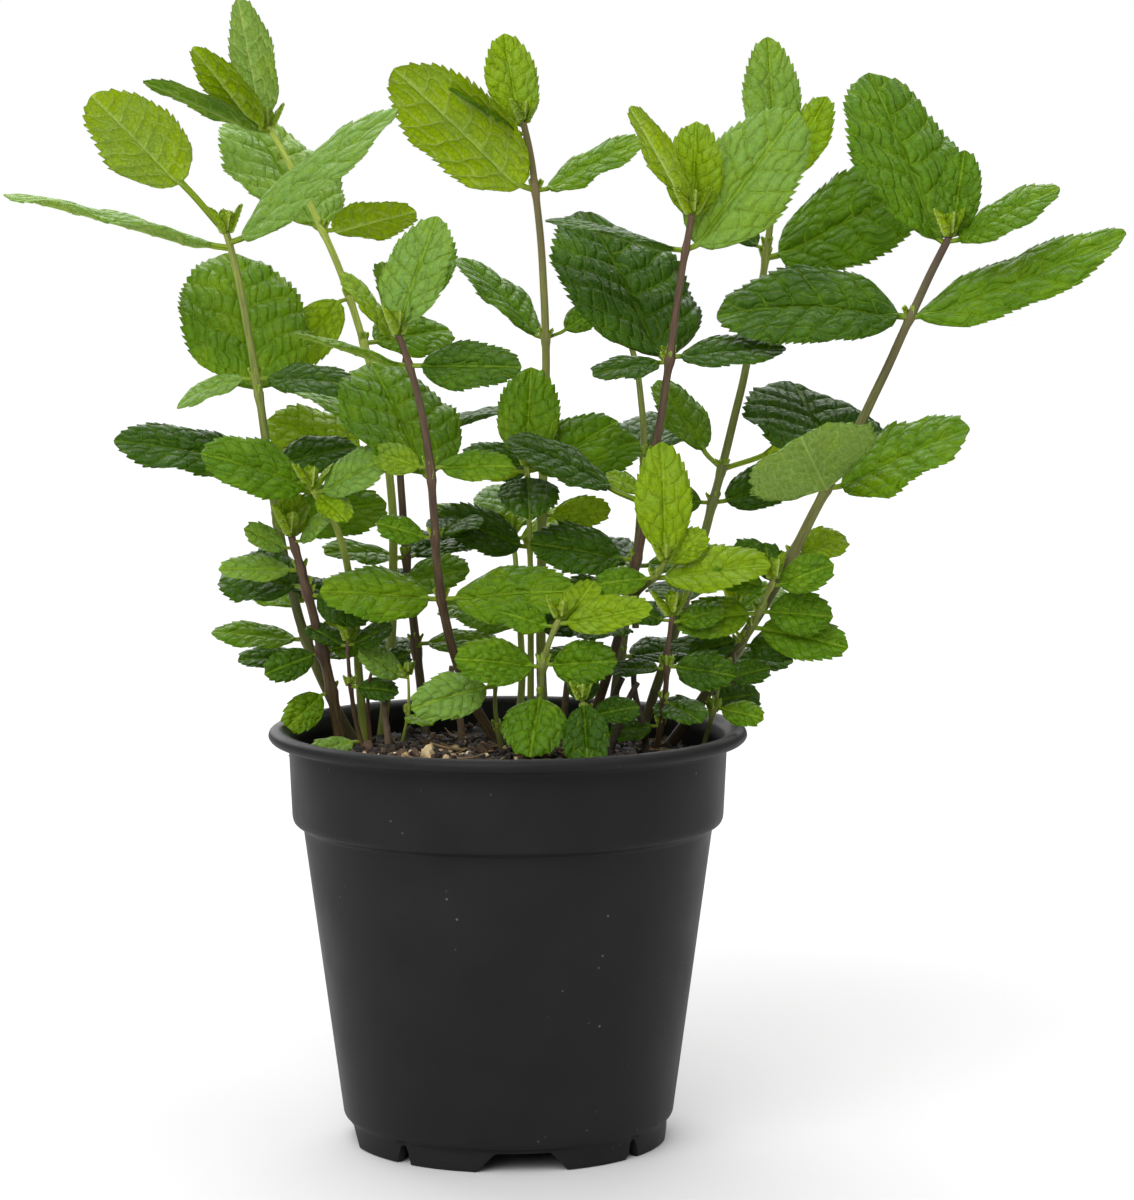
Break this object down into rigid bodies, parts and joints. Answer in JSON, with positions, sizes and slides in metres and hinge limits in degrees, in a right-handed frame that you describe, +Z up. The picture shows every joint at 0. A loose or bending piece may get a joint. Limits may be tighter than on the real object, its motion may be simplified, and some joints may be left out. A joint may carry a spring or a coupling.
{
  "type": "potted mint plant",
  "caption": "Bushy potted mint: upright square stems with opposite toothed leaves, growing in a tapered nursery pot with a rolled lip.",
  "frame": {"origin": "middle of the underside of the bounding box, on the surface that the pot stands on", "axes": "+Z up; X runs across the widest spread of the shoots; -Y is the front"},
  "size_m": [0.2974, 0.1778, 0.3104],
  "materials": {
    "pot_plastic": "satin",
    "soil": "matte",
    "leaf": "satin",
    "stem_purple": "satin",
    "stem_olive": "satin",
    "stem_pale": "satin"
  },
  "bodies": {
    "root": {"pot": "pot_plastic", "soil": "soil", "stem_left_tall": "stem_olive", "leaf_left_tall_1": "leaf", "leaf_left_tall_2": "leaf", "leaf_left_tall_3": "leaf", "leaf_left_tall_4": "leaf", "leaf_left_tall_5": "leaf", "stem_left_pale": "stem_pale", "leaf_left_pale_1": "leaf", "leaf_left_pale_2": "leaf", "leaf_left_pale_3": "leaf", "leaf_left_pale_4": "leaf", "stem_left_short": "stem_purple", "stem_left_curved": "stem_pale", "leaf_left_curved_1": "leaf", "stem_centre_purple": "stem_purple", "leaf_centre_purple_1": "leaf", "leaf_centre_purple_2": "leaf", "leaf_centre_purple_3": "leaf", "leaf_centre_purple_4": "leaf", "leaf_centre_purple_5": "leaf", "stem_centre_tall": "stem_pale", "leaf_centre_tall_1": "leaf", "leaf_centre_tall_2": "leaf", "leaf_centre_tall_3": "leaf", "stem_centre_thin": "stem_pale", "leaf_centre_thin_1": "leaf", "stem_right_purple": "stem_purple", "leaf_right_purple_1": "leaf", "leaf_right_purple_2": "leaf", "leaf_right_purple_3": "leaf", "leaf_right_purple_4": "leaf", "leaf_right_purple_5": "leaf", "stem_right_side": "stem_olive", "leaf_right_side_1": "leaf", "leaf_right_side_2": "leaf", "stem_right_olive": "stem_olive", "leaf_right_olive_1": "leaf", "leaf_right_olive_2": "leaf", "stem_right_tall": "stem_purple", "leaf_right_tall_1": "leaf", "leaf_right_tall_2": "leaf", "leaf_right_tall_3": "leaf", "leaf_right_tall_4": "leaf", "leaf_right_tall_5": "leaf", "leaf_right_tall_6": "leaf", "leaf_right_tall_7": "leaf", "stem_right_tall_side": "stem_olive", "stem_front_low": "stem_olive", "leaf_front_low_1": "leaf", "stem_back_left": "stem_purple", "leaf_back_left_1": "leaf", "leaf_back_left_2": "leaf", "leaf_back_left_3": "leaf", "stem_back_right": "stem_olive", "leaf_back_right_1": "leaf", "leaf_back_right_2": "leaf", "stem_back_low": "stem_pale", "leaf_back_low_1": "leaf"}
  },
  "joints": []
}
